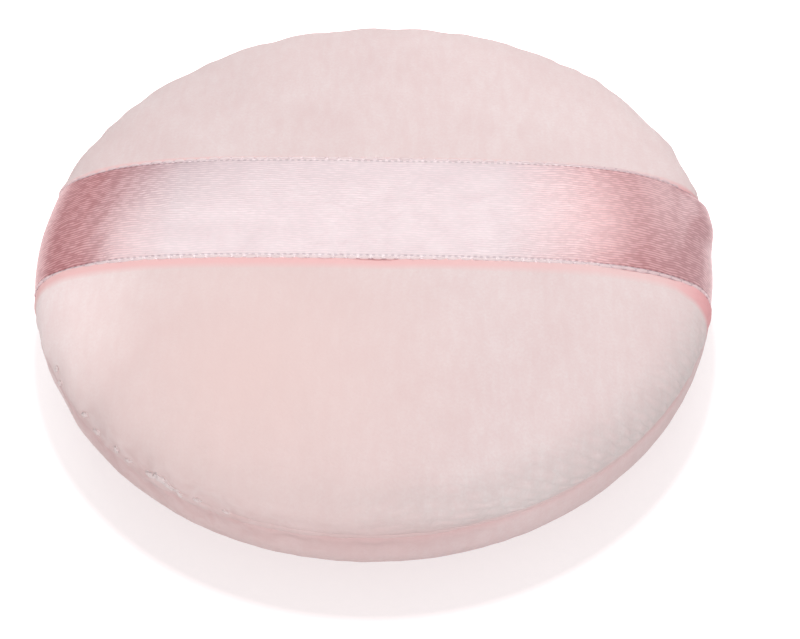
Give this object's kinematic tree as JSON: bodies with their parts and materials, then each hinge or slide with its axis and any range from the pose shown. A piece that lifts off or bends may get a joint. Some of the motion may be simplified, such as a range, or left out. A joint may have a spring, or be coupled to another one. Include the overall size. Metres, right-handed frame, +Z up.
{
  "type": "powder puff",
  "caption": "Round velour powder puff with a sponge core, a sewn rim and a satin ribbon strap across its back.",
  "frame": {"origin": "centre of the puff's outline on the surface that its face rests on", "axes": "+Z up through the puff, from its face to its back; +X along the ribbon strap, across the puff"},
  "size_m": [0.0809, 0.0795, 0.022],
  "materials": {
    "back_velour": "matte",
    "face_velour": "matte",
    "sponge": "matte",
    "sewing_thread": "matte",
    "satin_ribbon": "satin"
  },
  "bodies": {
    "puff": {"back_cover": "back_velour", "face_cover": "face_velour", "sponge_core": "sponge", "seam_needle_thread": "sewing_thread", "seam_bobbin_thread": "sewing_thread", "closing_stitches": "sewing_thread", "ribbon_tail_left": "satin_ribbon", "ribbon_tail_right": "satin_ribbon"},
    "strap": {"ribbon_strap": "satin_ribbon"}
  },
  "joints": [
    {"name": "strap_lift", "type": "slide", "parent": "puff", "child": "strap", "axis": [0, 0, 1], "range_m": [0, 0.008], "stiffness_N_per_m": 60}
  ]
}
